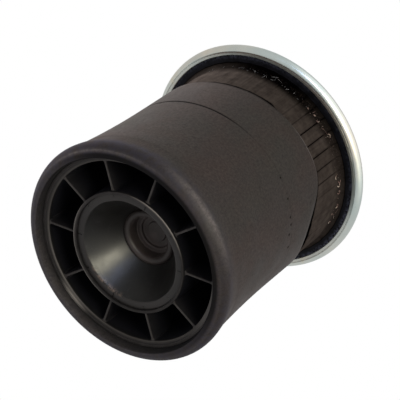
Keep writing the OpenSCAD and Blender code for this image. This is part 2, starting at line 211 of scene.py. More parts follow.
def between(points, step):
    """The same line with no stretch longer than step."""
    out = [points[0]]
    for a, b in zip(points, points[1:]):
        n = max(1, math.ceil(math.dist(a, b) / step))
        out += [(a[0] + (b[0] - a[0]) * i / n, a[1] + (b[1] - a[1]) * i / n) for i in range(1, n + 1)]
    return out


# Meshes
def finish_mesh(name, verts, faces, material, sharp=35, masks=None):
    """A smooth-shaded closed piece, which keeps its rest places and its masks (0 to 1) as attributes."""
    mesh = bpy.data.meshes.new(name)
    mesh.from_pydata([tuple(v) for v in verts], [], [tuple(f) for f in faces])
    for key, value in (masks or {}).items():
        mask = mesh.attributes.new(key, "FLOAT", "POINT")
        mask.data.foreach_set("value", np.clip(np.asarray(value, np.float32), 0, 1).ravel())
    work = bmesh.new()
    work.from_mesh(mesh)
    bmesh.ops.remove_doubles(work, verts=work.verts, dist=1e-6)
    bmesh.ops.recalc_face_normals(work, faces=work.faces)
    work.to_mesh(mesh)
    work.free()
    rest = np.array([v.co for v in mesh.vertices], np.float32)
    mesh.attributes.new("rest", "FLOAT_VECTOR", "POINT").data.foreach_set("vector", rest.ravel())
    mesh.shade_smooth()
    mesh.set_sharp_from_angle(angle=math.radians(sharp))
    mesh.materials.append(material)
    piece = bpy.data.objects.new(name, mesh)
    bpy.context.scene.collection.objects.link(piece)
    return piece


def lathe(name, outline, material, angles=2.0, shape=None, place=(0, 0), sharp=35):
    """Turns a closed outline of (radius, height) points round Z, at angles in degrees or in equal steps.
    shape gets radii, heights and angles, and returns new radii, new heights and a dict of masks."""
    angles = np.arange(0, 360, angles) if isinstance(angles, float) else np.array(angles)
    line = np.array(outline, float)
    r, a = np.meshgrid(line[:, 0], angles, indexing="ij")
    z = np.repeat(line[:, 1:2], len(angles), axis=1)
    masks = {}
    if shape:
        r, z, masks = shape(r, z, a)
    turn = np.radians(a)
    verts = np.stack([place[0] + r * np.cos(turn), place[1] + r * np.sin(turn), z], -1).reshape(-1, 3)
    rows, columns = r.shape
    faces = []
    for i in range(rows):
        for j in range(columns):
            k, m = (i + 1) % rows, (j + 1) % columns
            faces.append((i * columns + j, i * columns + m, k * columns + m, k * columns + j))
    return finish_mesh(name, verts, faces, material, sharp, masks)


# Materials
def rgb(red, green, blue):
    """A colour given as it looks on screen, from 0 to 255, as Blender's linear values."""
    linear = (((c / 255 + 0.055) / 1.055) ** 2.4 if c > 10 else c / 255 / 12.92 for c in (red, green, blue))
    return (*linear, 1)


class Nodes:
    """A node tree, with short calls for adding, filling and linking its nodes."""

    def __init__(self, tree):
        self.tree = tree
        tree.nodes.clear()

    def add(self, kind, settings=None, **inputs):
        made = self.tree.nodes.new("ShaderNode" + kind)
        for key, value in (settings or {}).items():
            setattr(made, key, value)
        for key, value in inputs.items():
            self.put(made.inputs[key.replace("_", " ")], value)
        return made

    def put(self, socket, value):
        if isinstance(value, bpy.types.NodeSocket):
            self.tree.links.new(value, socket)
        else:
            socket.default_value = value

    def math(self, kind, a, b=0.0, c=0.0, clamp=False):
        made = self.add("Math", {"operation": kind, "use_clamp": clamp})
        for socket, value in zip(made.inputs, (a, b, c)):
            self.put(socket, value)
        return made.outputs[0]


class Shader(Nodes):
    """A material with one surface, placed by the pieces' rest places or by the object's own axes."""

    def __init__(self, name, at="rest"):
        self.material = bpy.data.materials.new(name)
        self.material.use_nodes = True
        super().__init__(self.material.node_tree)
        self.surface = self.add("BsdfPrincipled")
        self.add("OutputMaterial", Surface=self.surface.outputs["BSDF"])
        if at == "rest":
            self.place = self.add("Attribute", {"attribute_name": "rest"}).outputs["Vector"]
        else:
            self.place = self.add("TexCoord").outputs["Object"]

    def mask(self, name):
        return self.add("Attribute", {"attribute_name": name}).outputs["Fac"]

    def times(self, value, *others):
        for other in others:
            value = self.math("MULTIPLY", value, other)
        return value

    def noise(self, scale, detail=4.0, rough=0.55, at=None, warp=0.0):
        return self.add("TexNoise", Vector=at or self.place, Scale=scale, Detail=detail, Roughness=rough,
                        Distortion=warp).outputs["Fac"]

    def ramp(self, value, *stops):
        """A ramp through (position, value) stops. A value is a grey, or a colour as it looks on screen."""
        made = self.add("ValToRGB", Fac=value)
        line = made.color_ramp
        while len(line.elements) < len(stops):
            line.elements.new(1.0)
        for element, (position, colour) in zip(line.elements, stops):
            element.position = position
            element.color = rgb(*colour) if isinstance(colour, tuple) else (colour, colour, colour, 1)
        return made.outputs["Color"]

    def shades(self, value, dark, light):
        """The ramp that most of the noises share."""
        return self.ramp(value, (0.3, dark), (0.7, light))

    def mix(self, factor, a, b):
        made = self.add("Mix", {"data_type": "RGBA"}, Factor=factor)
        self.put(made.inputs[6], a)
        self.put(made.inputs[7], b)
        return made.outputs[2]

    def lay(self, tone, colour, *shares):
        """Lays a colour over a tone by the product of its shares: names of masks, sockets and numbers."""
        shares = [self.mask(k) if isinstance(k, str) else k for k in shares]
        return self.mix(self.times(*shares), tone, rgb(*colour))

    def finish(self, tone, rough, *layers, specular=0.5, metal=0.0):
        """Fills the surface's inputs. Bump layers are (height, strength, millimetres), coarsest first."""
        inputs = {"Base Color": tone, "Roughness": rough, "Specular IOR Level": specular, "Metallic": metal}
        for height, strength, distance in layers:
            bump = self.add("Bump", Height=height, Strength=strength, Distance=distance * MM)
            if "Normal" in inputs:
                self.put(bump.inputs["Normal"], inputs["Normal"])
            inputs["Normal"] = bump.outputs["Normal"]
        for key, value in inputs.items():
            self.put(self.surface.inputs[key], value)
        return self.material


def cover_rubber():
    """The bellows' cover: mottled grey-brown rubber with pale specks, dark in its splice, pale on its crease
    from wear and a painted highlight, painted lighter on two sides, and painted with shade in its fold, at
    its base and along its upper edge.
    """
    s = Shader("cover_rubber")
    cloud = s.noise(45, 6)
    fine = s.noise(420, 4, 0.7)
    tone = s.ramp(s.noise(9, 3, warp=0.4), (0.36, (50, 48, 44)), (0.50, (50, 44, 43)), (0.64, (58, 47, 46)))
    tone = s.mix(0.3, tone, s.shades(cloud, (38, 33, 32), (63, 57, 53)))
    tone = s.lay(tone, (66, 48, 44), s.ramp(s.noise(24, 5, 0.6), (0.46, 0.0), (0.66, 0.45)))
    tone = s.mix(0.42, tone, s.ramp(s.noise(480, 5, 0.75), (0.35, (28, 25, 24)), (0.65, (80, 73, 68))))
    tone = s.lay(tone, (108, 101, 93), s.ramp(fine, (0.62, 0.0), (0.72, 1.0)), 0.16)
    tone = s.lay(tone, (20, 17, 16), s.ramp(s.noise(300, 3, 0.6), (0.28, 1.0), (0.36, 0.0)), 0.45)
    tone = s.lay(tone, (58, 55, 65), "lobe", s.ramp(s.noise(130, 6, 0.7), (0.36, 0.1), (0.60, 0.95)))
    scuff = s.ramp(s.noise(300, 6, 0.75), (0.38, 0.0), (0.62, 1.0))
    # Pale: wear, with painted highlights on the lobe and the cover's edge and painted light on two sides
    tone = s.lay(tone, (124, 117, 115), "wear_and_painted_light", s.math("MULTIPLY_ADD", scuff, 0.62, 0.38))
    # Near black: the dark splice and nicks, and painted shade in the lobe's fold, at its base and along the
    # cover's edge
    tone = s.lay(tone, (5, 4, 5), "shade_and_grime")
    rough = s.mix(s.mask("shade_and_grime"), s.shades(cloud, 0.52, 0.68), (0.95, 0.95, 0.95, 1))
    return s.finish(tone, rough, (cloud, 0.12, 0.6), (s.noise(1100, 3, 0.6), 0.22, 0.12),
                    (fine, 0.22, 0.2), specular=0.12)


def neck_rubber():
    """The thin skin at the neck, drawn in fine ridges over the cords."""
    s = Shader("neck_rubber")
    cords = s.noise(600, 2, 0.5, at=s.add("Mapping", Vector=s.place, Scale=(1, 1, 0.03)).outputs["Vector"])
    cloud = s.noise(110, 5, 0.6)
    tone = s.shades(cloud, (60, 53, 50), (90, 81, 76))
    tone = s.mix(0.25, tone, s.shades(cords, (40, 35, 33), (86, 77, 71)))
    tone = s.lay(tone, (104, 92, 86), s.ramp(s.noise(520, 4, 0.7), (0.60, 0.0), (0.70, 1.0)), 0.25)
    # Near black: painted shade in the grooves, above the cover's edge and under the rolled rim, with a
    # smudge and a spot
    tone = s.lay(tone, (4, 3, 3), "shade_and_grime")
    tone = s.lay(tone, (122, 106, 100), s.ramp(s.noise(640, 4, 0.7), (0.56, 0.0), (0.66, 0.8)), "specks")
    return s.finish(tone, 0.65, (cloud, 0.15, 0.3), (cords, 0.3, 0.2), (s.noise(900, 3), 0.2, 0.15),
                    specular=0.0)


def flange_rubber():
    """Smooth black rubber that the mould pressed out under the rolled edge, its black deepened with painted
    shade.
    """
    s = Shader("flange_rubber")
    cloud = s.noise(120, 4)
    # Near black: black rubber deepened with painted shade from the rolled edge
    tone = s.shades(cloud, (13, 13, 16), (25, 25, 31))
    # Pale blue-grey: dust, with a painted sheen towards the rim
    tone = s.lay(tone, (96, 100, 120), "dust_and_sheen", s.ramp(s.noise(420, 4, 0.7), (0.42, 0.0), (0.62, 1.0)))
    return s.finish(tone, s.shades(cloud, 0.4, 0.55), (cloud, 0.1, 0.4), (s.noise(900, 3), 0.12, 0.1),
                    specular=0.05)


def liner_rubber():
    """Smooth inner rubber, dulled by talc."""
    s = Shader("liner_rubber", "object")
    talc = s.noise(70, 5)
    tone = s.ramp(talc, (0.4, (34, 33, 33)), (0.75, (70, 68, 66)))
    return s.finish(tone, s.shades(talc, 0.6, 0.8), (s.noise(800, 3), 0.2, 0.15), specular=0.35)


def bump_rubber():
    """Firm moulded rubber, faintly mottled."""
    s = Shader("bump_rubber", "object")
    cloud = s.noise(50, 4)
    return s.finish(s.shades(cloud, (26, 26, 27), (38, 37, 37)), 0.5,
                    (cloud, 0.08, 0.5), (s.noise(1000, 2), 0.12, 0.1))


def piston_plastic(at="rest"):
    """Glass-filled black moulding, greyed by dust on its edges, with painted glints on some edges and
    painted shade deep in its pockets.
    """
    s = Shader("piston_plastic" if at == "rest" else "inner_plastic", at)
    cloud = s.noise(55, 5)
    fine = s.noise(600, 3, 0.6)
    tone = s.shades(cloud, (20, 20, 20), (31, 30, 30))
    if at == "rest":
        tone = s.lay(tone, (62, 59, 62), "dust_and_sheen", s.ramp(s.noise(140, 5, 0.65), (0.35, 0.35), (0.65, 1.0)))
        # Painted shade deep in the pockets and in grooves
        tone = s.lay(tone, (27, 27, 32), "shade_and_grime")
        # Painted glints and highlights on edges and faces, with a little edge wear
        tone = s.lay(tone, (172, 165, 160), "glint_and_wear")
    return s.finish(tone, s.shades(fine, 0.45, 0.6), (cloud, 0.08, 0.4), (fine, 0.14, 0.12), specular=0.05)


def cone_plastic():
    """Cone seat, polished by the mould, with scuffs, dust, painted shade in its slits and its well's groove,
    and a dull well painted lighter, brightest on one side.
    """
    s = Shader("cone_plastic")
    cloud = s.noise(38, 4)
    tone = s.shades(cloud, (14, 13, 12), (23, 21, 19))
    scuff = s.ramp(s.noise(210, 6, 0.7, warp=1.0), (0.58, 0.0), (0.68, 1.0))
    tone = s.lay(tone, (62, 60, 62), scuff, 0.35)
    tone = s.lay(tone, (48, 44, 43), "dust_and_sheen")
    tone = s.lay(tone, (132, 116, 106), "chip", s.ramp(s.noise(230, 5, 0.7), (0.46, 0.0), (0.56, 1.0)))
    # Painted light in the well and on its ridge, brightest on one side, where the surface is also matt
    tone = s.lay(tone, (98, 88, 85), "haze_and_painted_light")
    # Near black: painted shade in the slits and in the well's groove
    tone = s.lay(tone, (4, 4, 4), "shade_and_grime")
    dull = s.math("MAXIMUM", s.math("MAXIMUM", s.mask("dust_and_sheen"), s.mask("haze_and_painted_light")), s.mask("matt"))
    rough = s.mix(dull, s.shades(s.noise(90, 5), 0.32, 0.42), (0.5, 0.5, 0.5, 1))
    return s.finish(tone, rough, (cloud, 0.05, 0.5), (s.noise(500, 3), 0.05, 0.1), specular=0.3)


def zinc(name, at, turned=True):
    """Zinc-plated steel with a faint yellow passivation and, if turned, drawing lines round the axis."""
    s = Shader(name, at)
    if turned:
        fineness = 1600.0
        split = s.add("SeparateXYZ", Vector=s.place).outputs
        squares = [s.times(split[k], split[k]) for k in "XY"]
        radius = s.math("SQRT", s.math("ADD", *squares))
        rings = s.add("CombineXYZ", X=s.times(radius, fineness), Z=s.times(split["Z"], fineness))
        lines = s.noise(1.0, 3, 0.6, at=rings.outputs["Vector"])
    else:
        lines = s.noise(900, 3)
    bloom = s.noise(130, 5, 0.65)
    tints = (188, 193, 193), (198, 200, 197), (200, 196, 184)
    if at == "rest":
        tints = (192, 203, 200), (210, 213, 206), (214, 203, 174)
    tone = s.ramp(s.noise(22, 4, warp=0.6), *zip((0.35, 0.58, 0.80), tints))
    tone = s.lay(tone, (172, 174, 174), s.ramp(bloom, (0.55, 0.0), (0.75, 1.0)), 0.2)
    metal = 1.0
    if at == "rest":
        # Painted warm reflection
        tone = s.lay(tone, (220, 184, 146), "warm_reflection")
        tone = s.lay(tone, (84, 54, 40), "rust")
        metal = s.math("SUBTRACT", 1.0, s.mask("rust"))
    return s.finish(tone, s.shades(bloom, 0.24, 0.36), (lines, 0.03, 0.06), (bloom, 0.03, 0.2), metal=metal)


def bare_steel():
    """Plain steel of the cores and inserts inside."""
    s = Shader("bare_steel", "object")
    patch = s.noise(90, 5)
    return s.finish(s.shades(patch, (132, 133, 136), (168, 168, 170)), s.shades(patch, 0.35, 0.5),
                    (s.noise(900, 3), 0.1, 0.1), metal=1.0)


def crumb_rubber():
    """Dried cement and frayed cord that the crimping left at the flange."""
    s = Shader("crumb_rubber")
    tone = s.ramp(s.noise(170, 2), (0.35, (120, 88, 82)), (0.5, (176, 146, 136)), (0.65, (232, 214, 196)))
    pale = s.ramp(s.noise(150, 2), (0.4, (66, 65, 68)), (0.65, (158, 156, 160)))
    return s.finish(s.mix(s.mask("pale"), tone, pale), 0.8, (s.noise(2500, 2), 0.3, 0.1))


# Bellows
def lobe_line(depth):
    """Line through the rolled lobe at a depth under the outer face, from the sleeve to the inner leg."""
    centre = (BASE_R + LEG_PLAY + CORNER_R, LOBE_Z)
    r = LOBE_R - centre[0] - depth
    top = (sleeve_r(LOBE_TOP) - depth, LOBE_TOP)
    start = (centre[0] + r * math.cos(LOBE_LEAD), centre[1] + r * math.sin(LOBE_LEAD))
    third = (LOBE_TOP - start[1]) / 3
    slope = (sleeve_r(LOBE_TOP) - sleeve_r(LOBE_TOP - MM)) / MM
    leg_r = BASE_R + LEG_PLAY + depth
    turn = math.acos(max(0.0, leg_r - centre[0]) / r)
    corner = max(0.0, centre[0] - leg_r)
    floor = centre[1] - r * math.sin(turn)
    line = curve(top, (top[0] - third * slope, top[1] - third),
                 (start[0] - third * math.sin(LOBE_LEAD), start[1] + third * math.cos(LOBE_LEAD)), start, 24)
    line += arc(centre, r, math.degrees(LOBE_LEAD), -math.degrees(turn), 28)[1:]
    if corner:
        line += arc((centre[0], floor + corner), corner, -90, -180, 8)[1:]
    heights = span(max(line[-1][1], 0), LEG_LOW, 5)[1:]
    return line + [(piston_r(z) + LEG_PLAY + depth, z) for z in heights]


# Nicks along the splice, as (angle in degrees, height in millimetres)
NICKS = [(-103.6, 114.6), (-91.6, 114.6), (-81.4, 113.4), (-77, 113.7), (-71.8, 110.8), (-63.7, 112.0),
         (172, 111.5), (40, 114.0), (96, 112.5)]
# How far the cover's edge hangs down, as (angle in degrees, millimetres), and about the most of it
DROPS = [(-180, 6), (-160, 5.2), (-146, 2.4), (-128, 1.2), (-118, 0), (-96, -0.5), (-90, 0.8), (-84, 4),
         (-77, 10), (-70, 15.5), (-61, 18.6), (-52, 18.2), (-44, 15), (-32, 8), (-18, 2.5), (0, 0.5),
         (60, 1), (120, 2.5)]
DIP = 18.5 * MM


def edge_drop(angle):
    """How far the cover's upper edge hangs below its usual height."""
    return through(angle, DROPS) * MM + wander(angle, 4, 0.5 * MM)


def sleeve_shape(r, z, a):
    """Lets the cover's edge wave, cuts the splice and the nicks, and marks wear, dirt, painted highlights,
    painted light and painted shade.
    """
    outside = z > LOBE_TOP
    z = z - np.where(outside, edge_drop(a) * smooth((z - SEAM_Z) / (EDGE_Z - SEAM_Z)), 0)
    seam = SEAM_Z - 1.0 * MM * hump(a, -165, 60) + 1.6 * MM * hump(a, -88, 60) + wander(a, 7, 0.4 * MM)
    strength = 0.10 + 0.90 * np.minimum(1, 1.9 * hump(a, -178, 56)) + 0.5 * hump(a, 70, 70)
    skin = (r > sleeve_r(z) - MM) & outside
    cut = bell(z - seam, 0.85 * MM) * strength * skin
    shade_and_grime = 1.4 * cut
    for angle, height in NICKS:
        off = offset(a, angle) * math.radians(1) * r
        nick = 1.5 * bell(off, 0.9 * MM) * bell(z - height * MM, MM) * skin
        cut = np.maximum(cut, nick)
        shade_and_grime = np.maximum(shade_and_grime, nick)
    feather = hump(a, -58, 36) * smooth((z + edge_drop(a) - EDGE_Z + 7 * MM) / (7 * MM)) * skin
    r = r - 0.6 * MM * cut - 1.3 * MM * feather
    r = r + wander(a, 11, 0.25 * MM) * smooth((z - LOBE_LOW) / (20 * MM))
    out_r = LOBE_R - 4 * MM
    under = z < 4 * MM
    top = z + edge_drop(a) - EDGE_Z
    # Wear on the lobe's crest, with a painted highlight strongest on one side
    crest = bell(z - 0.8 * MM, 3.4 * MM) * (r > out_r)
    crest = crest * (0.05 + 0.95 * hump(a, -113, 38) + 0.12 * hump(a, 60, 80))
    # Wear and a painted sheen on the lobe's underside, most on one side
    inner = bell(r - LOBE_R + 4.6 * MM, 1.3 * MM) * (z < 0) * (0.12 + 0.45 * hump(a, -178, 50))
    rubbed = (0.14 + 0.5 * bell(r - BASE_R - 0.6 * MM, 3 * MM)) * hump(a, 70, 140)
    rubbed = rubbed * smooth((LOBE_R - MM - r) / (2 * MM)) * under
    # Painted highlight along the cover's upper edge
    edge = bell(top + 0.5 * MM, 0.5 * MM) * hump(a, -108, 20) * skin
    # Painted light: the sleeve paler on two sides
    lit_side = (0.17 * hump(a, -178, 62) + 0.20 * hump(a, -36, 56)) * smooth((z + 4 * MM) / (40 * MM)) * skin
    # Painted shade: near black in the lobe's inner fold
    fold = smooth((LOBE_R - 5.8 * MM - r) / (2.3 * MM)) * (z < LOBE_LOW + 5 * MM)
    fold = fold * through(a, [(-180, 0.95), (-60, 0.95), (-30, 0.35), (0, 0.0), (150, 0.1)])
    open_side = 0.7 * hump(a, 65, 90) * (z < LOBE_LOW + 3 * MM)
    # Painted shade in the gap between the lobe and the piston's base
    gap_shade = smooth((BASE_R + 2.6 * MM - r) / (1.6 * MM)) * under * (1 - open_side)
    shade = 0.12 * (1 - hump(a, -113, 50)) + 0.22 * hump(a, -175, 45)
    shade = shade * (r > out_r) * smooth((9 * MM - z) / (12 * MM))
    # Painted shade along the cover's upper edge, strongest on one side
    shade_and_soot = smooth((top + 2.2 * MM) / (1.6 * MM)) * np.minimum(1, 1.6 * hump(a, -158, 36)) * skin
    # Painted shade on the top of the cover's edge, left off around -116 degrees
    ledge = (top > -0.25 * MM) * (1.0 - np.minimum(1, 1.5 * hump(a, -116, 32)))
    lobe = smooth((15 * MM - z) / (13 * MM)) * (1 - 0.6 * hump(a, -95, 60))
    return r, z, {"shade_and_grime": most(shade_and_grime, 0.95 * fold, 0.95 * gap_shade, shade, shade_and_soot, ledge),
                  "wear_and_painted_light": most(crest, inner, rubbed, edge, lit_side), "lobe": lobe}


def make_bellows(material):
    """The rolled cover in one skin: down the sleeve, round the lobe and up beside the piston."""
    step_r = NECK_R - 0.15 * MM
    fine = list(np.arange(SEAM_Z - 7 * MM, SEAM_Z + 7 * MM, 0.35 * MM))
    heights = sorted([EDGE_Z - 0.6 * MM, *span(LOBE_TOP, SEAM_Z - 8 * MM, 30), *fine,
                      *span(SEAM_Z + 8 * MM, EDGE_Z - 1.5 * MM, 30)], reverse=True)
    edge_r = sleeve_r(EDGE_Z)
    outer = [(step_r, EDGE_Z - 0.5 * MM), (step_r, EDGE_Z)]
    outer += [(edge_r - 0.5 * MM, EDGE_Z), (edge_r - 0.1 * MM, EDGE_Z - 0.2 * MM)]
    outer += [(sleeve_r(z), z) for z in heights[:-1]]
    outer += lobe_line(0)
    inner = [(sleeve_r(z) - WALL, z) for z in span(EDGE_Z - 12 * MM, LOBE_TOP, 20)][:-1] + lobe_line(WALL)
    outline = outer + inner[::-1] + [(step_r - 2 * MM, EDGE_Z - 6 * MM)]
    return lathe("bellows_cover", outline, material, 0.5, sleeve_shape, sharp=40)


def make_leg(material):
    """The inner leg of the bellows, up the piston and over its shoulder to the lower bead."""
    top = PISTON_TOP - SHOULDER_R
    bead_r = high("lower_bead").x + 0.1 * MM

    def line(depth):
        up = [(piston_r(z) + LEG_PLAY + depth, z) for z in span(LEG_LOW, top, 28)]
        over = arc((SKIRT_R - SHOULDER_R, top), SHOULDER_R + LEG_PLAY + depth, 0, 90, 10)[1:]
        return up + over + [(bead_r, PISTON_TOP + LEG_PLAY + depth)]

    def shape(r, z, a):
        return r, z, {"shade_and_grime": 0 * r + 0.3, "wear_and_painted_light": 0 * r, "lobe": 0 * r}

    return lathe("inner_leg", line(0) + line(WALL)[::-1], material, shape=shape)


# Degrees between the grooves down the neck, and the place of one of them
GROOVE_STEP = 7.5
GROOVE_OFFSET = -122.5
GROOVES = round(360 / GROOVE_STEP)
# How far the neck is painted black with shade above the cover's edge, as (angle in degrees, millimetres)
GAPE = [(-180, 5.6), (-160, 4.8), (-144, 4.0), (-139, 5.6), (-135, 2.6), (-130, 0.3), (-104, 0.3),
        (-94, 3.0), (-82, 4.8), (-70, 6.8), (-60, 8.8), (-50, 9.6), (-38, 3.4), (-20, 1.6), (120, 1.6)]


def make_neck(material):
    """The neck between the cover's edge and the flange, grooved down its length."""
    foot = EDGE_Z - DIP - 4 * MM
    spread_r = NECK_R + 4.4 * MM
    flare = curve((NECK_R, NECK_TOP - 3 * MM), (NECK_R, NECK_TOP + 2.2 * MM),
                  (NECK_R + MM, LIP_LOW - 0.8 * MM), (spread_r, LIP_LOW - 0.45 * MM), 14)
    heights = span(foot, NECK_TOP - 3 * MM, 80)

    def shape(r, z, a):
        off = offset(a, GROOVE_OFFSET, GROOVE_STEP)
        cell = np.round((a - GROOVE_OFFSET) / GROOVE_STEP) % GROOVES
        draw = random.Random(21)
        depths = np.array([draw.uniform(0.55, 1.0) for _ in range(GROOVES)])
        strength = depths[cell.astype(int)] * (0.12 + 0.88 * np.minimum(1, 1.6 * hump(a, -104, 33)))
        skin = r > NECK_R - 2 * MM
        fade = smooth((NECK_TOP - 2 * MM - z) / (8 * MM)) * 0.75 + 0.25
        # Painted shade in the grooves
        cut = 0.85 * bell(off, 0.42) * strength * skin * fade
        swell = np.cos(np.radians(off / GROOVE_STEP * 360)) * 0.12 * MM
        above = z - EDGE_Z + edge_drop(a)
        hidden = through(a, GAPE, 5) * MM
        # Painted shadow in the gap above the cover's edge, where the neck is also drawn in
        tuck = smooth((hidden + 1.2 * MM - above) / (1.2 * MM)) * skin
        new_r = r - (0.7 * MM * cut - swell + 0.3 * MM * tuck) * skin
        veil = hump(a, -140, 62)
        # Painted shade under the rolled rim, reaching furthest on one side
        shade_and_soot = smooth((z - NECK_TOP + (9 + 7 * veil) * MM) / (14 * MM)) * (0.5 + 0.45 * veil)
        smudge = 0.55 * bell(a + 140.5, 1.1) * smooth((z - EDGE_Z + 3 * MM) / (12 * MM))
        spot = bell(a + 78.7, 1.1) * bell(z - 180.6 * MM, 1.1 * MM)
        specks = smooth((z - NECK_TOP + 8 * MM) / (4 * MM)) * (r < NECK_R + 2 * MM)
        specks = specks * (0.12 + 0.34 * hump(a, -100, 50))
        # With a dark smudge and spot, and painted shade on the flare under the flange
        shade_and_soot = most(shade_and_soot, smudge, spot, smooth((r - NECK_R - 2.6 * MM) / (1.6 * MM)))
        # The neck is also a little darker on one side
        shade_and_grime = 1.5 * cut + tuck + shade_and_soot + 0.2 * hump(a, -172, 50)
        return new_r, z, {"shade_and_grime": shade_and_grime, "specks": specks}

    angles = []
    for k in range(GROOVES):
        at = k * GROOVE_STEP + GROOVE_OFFSET
        angles += [at + off for off in (-0.6, -0.35, -0.15, 0, 0.15, 0.35, 0.6, 1.6, 2.8, 4.0, 5.2, 6.2)]
    outline = [(NECK_R, z) for z in heights[:-1]] + flare
    outline += [(spread_r, LIP_LOW - 0.3 * MM), (NECK_IN_R, LIP_LOW - 0.3 * MM)]
    outline += [(NECK_IN_R, z) for z in heights[::-1]]
    return lathe("neck_skin", outline, material, sorted(x % 360 for x in angles), shape)


def make_flange(material):
    """The bellows' upper bead, which shows as a black flange between the neck and the rolled edge."""
    edge_r = LIP_R - 0.05 * MM
    bead = 2.65 * MM
    outline = curve((NECK_R, NECK_TOP), (NECK_R, NECK_TOP + 3 * MM), (NECK_R + MM, LIP_LOW - 0.6 * MM),
                    (NECK_R + 4 * MM, LIP_LOW - 0.2 * MM), 14)
    outline += between([outline[-1], (edge_r, LIP_LOW + 0.3 * MM)], MM)[1:]
    outline += [(edge_r, LIP_LOW + 2.55 * MM)] + arc(ROLL, bead, -90, 90, 10)
    outline += [(NECK_IN_R, PLATE_LOW - 0.05 * MM), (NECK_IN_R, NECK_TOP)]

    def shape(r, z, a):
        face = z < LIP_LOW + MM
        # Dust and a painted sheen towards the rim, strongest on one side
        near = smooth((r - LIP_R + 4.6 * MM) / (4.6 * MM)) * face
        near = near * (0.2 + 0.7 * hump(a, -48, 52) + 0.2 * hump(a, -175, 40))
        # Paler at the foot by the neck on one side
        foot = smooth((NECK_R + 5 * MM - r) / (4 * MM)) * face * 0.6 * hump(a, -125, 50)
        return r, z + 0 * a, {"dust_and_sheen": np.maximum(near, foot)}

    return lathe("bead_flange", outline, material, 1.0, shape)


# Clusters of crumbs at the flange, as (angle in degrees, spread, number)
CRUMBS = [(-165, 10, 12), (-150, 8, 10), (-138, 8, 8), (-122, 6, 10), (-103, 9, 9), (-78, 6, 5),
          (-62, 8, 4), (30, 150, 30)]
# Curls of cord and loose hairs there, as (angle in degrees, millimetres above the neck's top)
CURLS = [(-116, -1.5), (-105.3, 1.0), (-81.8, -4.5), (-78.6, 0.3), (-76.4, -1.2), (-71.7, -0.5),
         (-62.2, 0.3), (-50.8, -2.0), (12, 0), (96, -2), (140, 1)]
HAIRS = [(168.7, -2), (175.7, 1), (-178.2, 1), (-173.5, 0), (-170, -2), (-166, 0.5), (-161.6, -1),
         (-155.9, -7), (-152.3, 1), (-149.2, -1), (-145, 0.5), (-140.7, -4), (-136, -0.5), (-130.4, 0),
         (-126, -2.5), (-121, -1), (-111, -2), (-57, 2.0), (-55, 1.2), (60, 0), (75, -1), (110, 1),
         (128, -2)]
# Crumbs and cord on this side of the spring are grey
GREY_X = -0.055


def make_crumbs(material):
    """Crumbs of cement, curls of cord and hairs in the corner between the neck and the flange."""
    draw = random.Random(5)
    verts, faces = [], []

    def spot(angle, height, proud):
        r = NECK_R + proud + max(0, height) * 0.3 * MM
        turn = math.radians(angle)
        middle = Vector((r * math.cos(turn), r * math.sin(turn), NECK_TOP + height * MM))
        return middle, Quaternion((0, 0, 1), turn)

    def tube(line, wire, sides=6):
        """A tube with thin ends along a line of places."""
        start, last = len(verts), len(line) - 1
        for i, place in enumerate(line):
            along = (line[min(i + 1, last)] - line[max(i - 1, 0)]).normalized()
            side = along.orthogonal().normalized()
            thick = wire * (0.35 if i in (0, last) else 1)
            for j in range(sides):
                verts.append(place + thick * (Quaternion(along, 2 * math.pi * j / sides) @ side))
        for i in range(last):
            for j in range(sides):
                a, b = start + i * sides + j, start + i * sides + (j + 1) % sides
                faces.append((a, b, b + sides, a + sides))
        faces.append([start + j for j in reversed(range(sides))])
        faces.append([start + last * sides + j for j in range(sides)])

    for centre, spread, number in CRUMBS:
        for _ in range(number):
            angle = centre + draw.uniform(-spread, spread)
            middle, turn = spot(angle, draw.triangular(-5, 2, -0.5), 0.05 * MM)
            size = draw.triangular(0.14, 0.5, 0.16) * MM
            squeeze = Vector((0.6, draw.uniform(0.6, 3.0), draw.uniform(0.5, 1.1)))
            lean = turn @ Quaternion((1, 0, 0), draw.uniform(-1.5, 1.5))
            start = len(verts)
            work = bmesh.new()
            bmesh.ops.create_icosphere(work, subdivisions=2, radius=size)
            for v in work.verts:
                knobbly = [c * k * draw.uniform(0.8, 1.2) for c, k in zip(v.co, squeeze)]
                verts.append(middle + lean @ Vector(knobbly))
            faces += [[start + v.index for v in f.verts] for f in work.faces]
            work.free()
    for angle, height in CURLS:
        middle, turn = spot(angle, height, 0.5 * MM)
        radius, wire = draw.uniform(1.3, 2.0) * MM, draw.uniform(0.3, 0.42) * MM
        sweep, begin = draw.uniform(2.5, 4.8), draw.uniform(0, 6.28)
        angles = [begin + sweep * i / 12 for i in range(13)]
        tube([middle + turn @ Vector((0, radius * math.cos(t), radius * math.sin(t))) for t in angles], wire)
    for angle, height in HAIRS:
        middle, turn = spot(angle, height, 0.2 * MM)
        length, lean, bend = draw.uniform(3, 7) * MM, draw.uniform(0, 3.14), draw.uniform(-1.2, 1.2)
        line, place = [], Vector((0, 0, 0))
        for i in range(9):
            line.append(middle + turn @ place)
            way = lean + bend * i / 8
            place = place + length / 8 * Vector((0.18, math.cos(way), math.sin(way)))
        tube(line, draw.uniform(0.11, 0.17) * MM, 5)
    pale = [float(v.x < GREY_X) for v in verts]
    return finish_mesh("flange_crumbs", verts, faces, material, 60, {"pale": pale})


